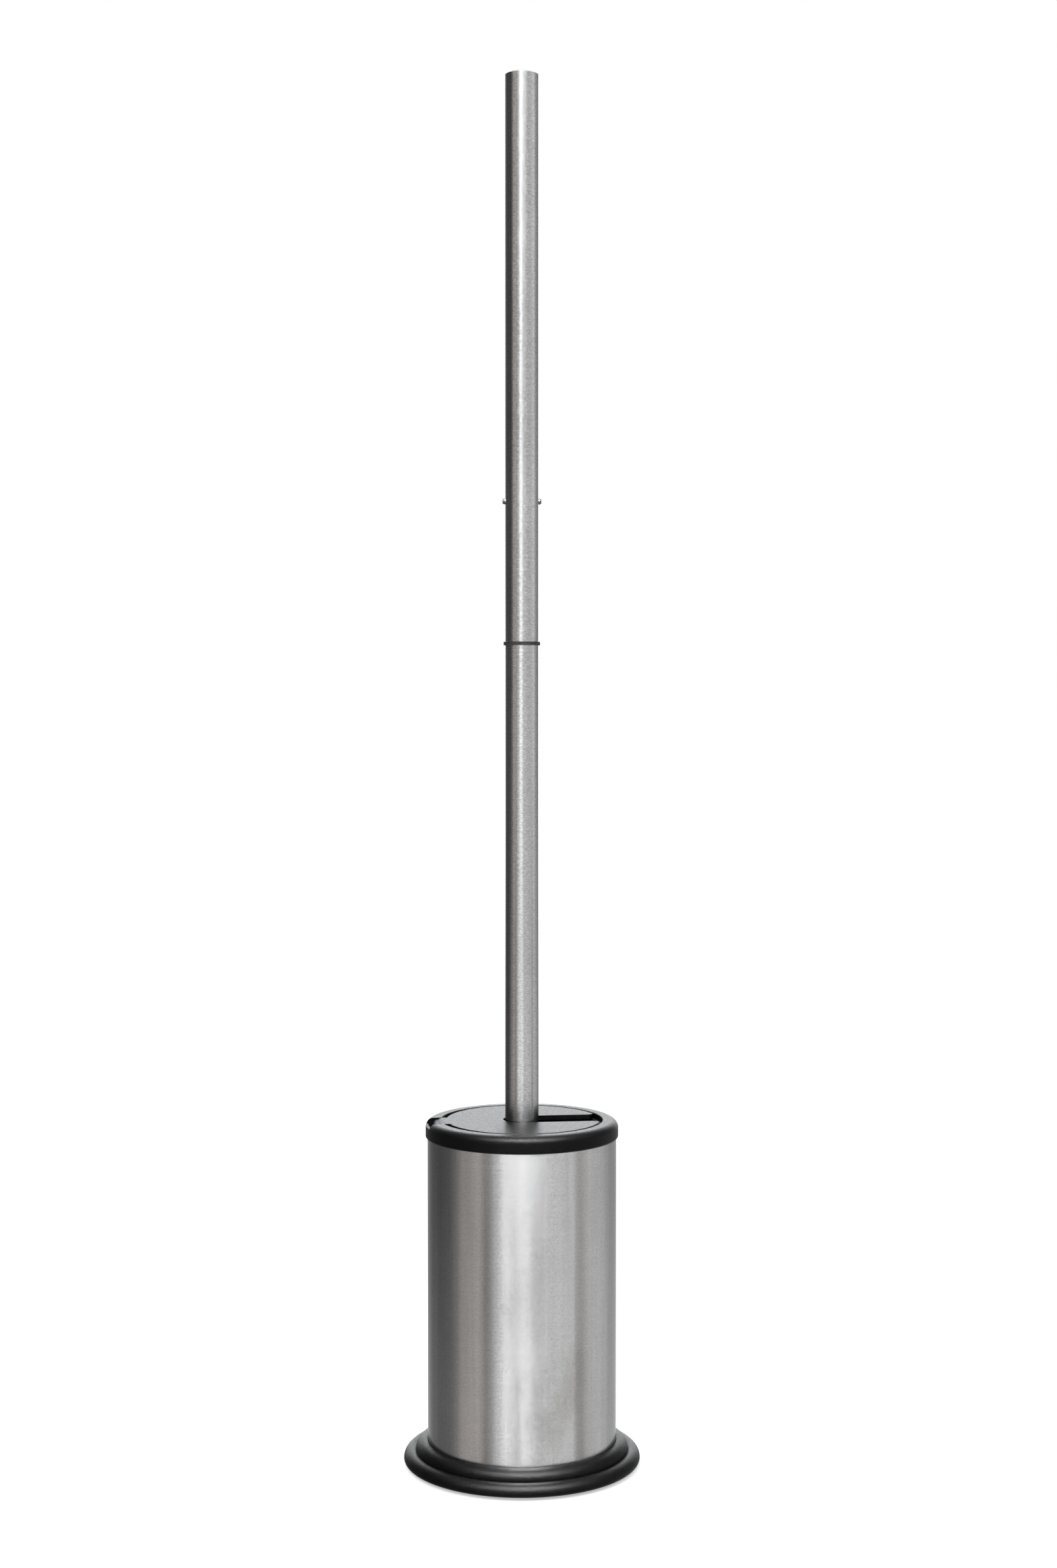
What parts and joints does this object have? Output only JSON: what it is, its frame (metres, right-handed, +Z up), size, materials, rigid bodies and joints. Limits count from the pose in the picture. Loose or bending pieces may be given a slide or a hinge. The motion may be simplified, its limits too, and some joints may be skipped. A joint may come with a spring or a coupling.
{
  "type": "toilet brush holder",
  "caption": "Free-standing steel cylinder on a stepped black base, with a slotted flip lid and a lift-out brush on a long round steel handle.",
  "frame": {"origin": "centre of the base's underside, on the floor", "axes": "+Z up along the cylinder and handle; the lid's hinge is at -X and its slot opens towards +X"},
  "size_m": [0.1172, 0.1172, 0.6864],
  "materials": {
    "black_plastic": "fine moulded grain, low sheen",
    "cup_plastic": "smooth moulded",
    "head_plastic": "smooth moulded",
    "rubber": "matt",
    "weight_iron": "plain",
    "steel_body": "brushed round the cylinder",
    "steel_handle": "fine satin",
    "cap_steel": "polished satin",
    "cross_pin_steel": "darkened",
    "pin_steel": "plain turned",
    "bristle": "crimped nylon filament"
  },
  "bodies": {
    "holder": {"base_foot": "black_plastic", "anti_slip_ring": "rubber", "base_weight": "weight_iron", "steel_shell": "steel_body"},
    "liner": {"inner_cup": "cup_plastic", "collar": "black_plastic", "hinge_pin": "pin_steel"},
    "lid": {"lid": "black_plastic"},
    "brush": {"lower_tube": "steel_handle", "joint_ring": "rubber", "lower_insert": "pin_steel", "joint_stud": "pin_steel", "head_adapter": "head_plastic", "head_core": "head_plastic", "head_stud": "pin_steel", "bristles": "bristle"},
    "upper_handle": {"upper_tube": "steel_handle", "top_cap": "cap_steel", "upper_spigot": "pin_steel", "cross_pin": "cross_pin_steel"}
  },
  "joints": [
    {"name": "liner_lift", "type": "slide", "parent": "holder", "child": "liner", "axis": [0, 0, 1], "range_m": [0, 0.175]},
    {"name": "brush_lift", "type": "slide", "parent": "liner", "child": "brush", "axis": [0, 0, 1], "range_m": [0, 0.185]},
    {"name": "lid_hinge", "type": "hinge", "parent": "liner", "child": "lid", "pos_m": [-0.0415, 0, 0.1681], "axis": [0, -1, 0], "range_deg": [0, 110]},
    {"name": "upper_handle_unscrew", "type": "slide", "parent": "brush", "child": "upper_handle", "axis": [0, 0, 1], "range_m": [0, 0.03]}
  ],
  "couplings": [
    {"joint": "lid_hinge", "follows": "brush_lift", "rad_per_m": 10.37}
  ]
}
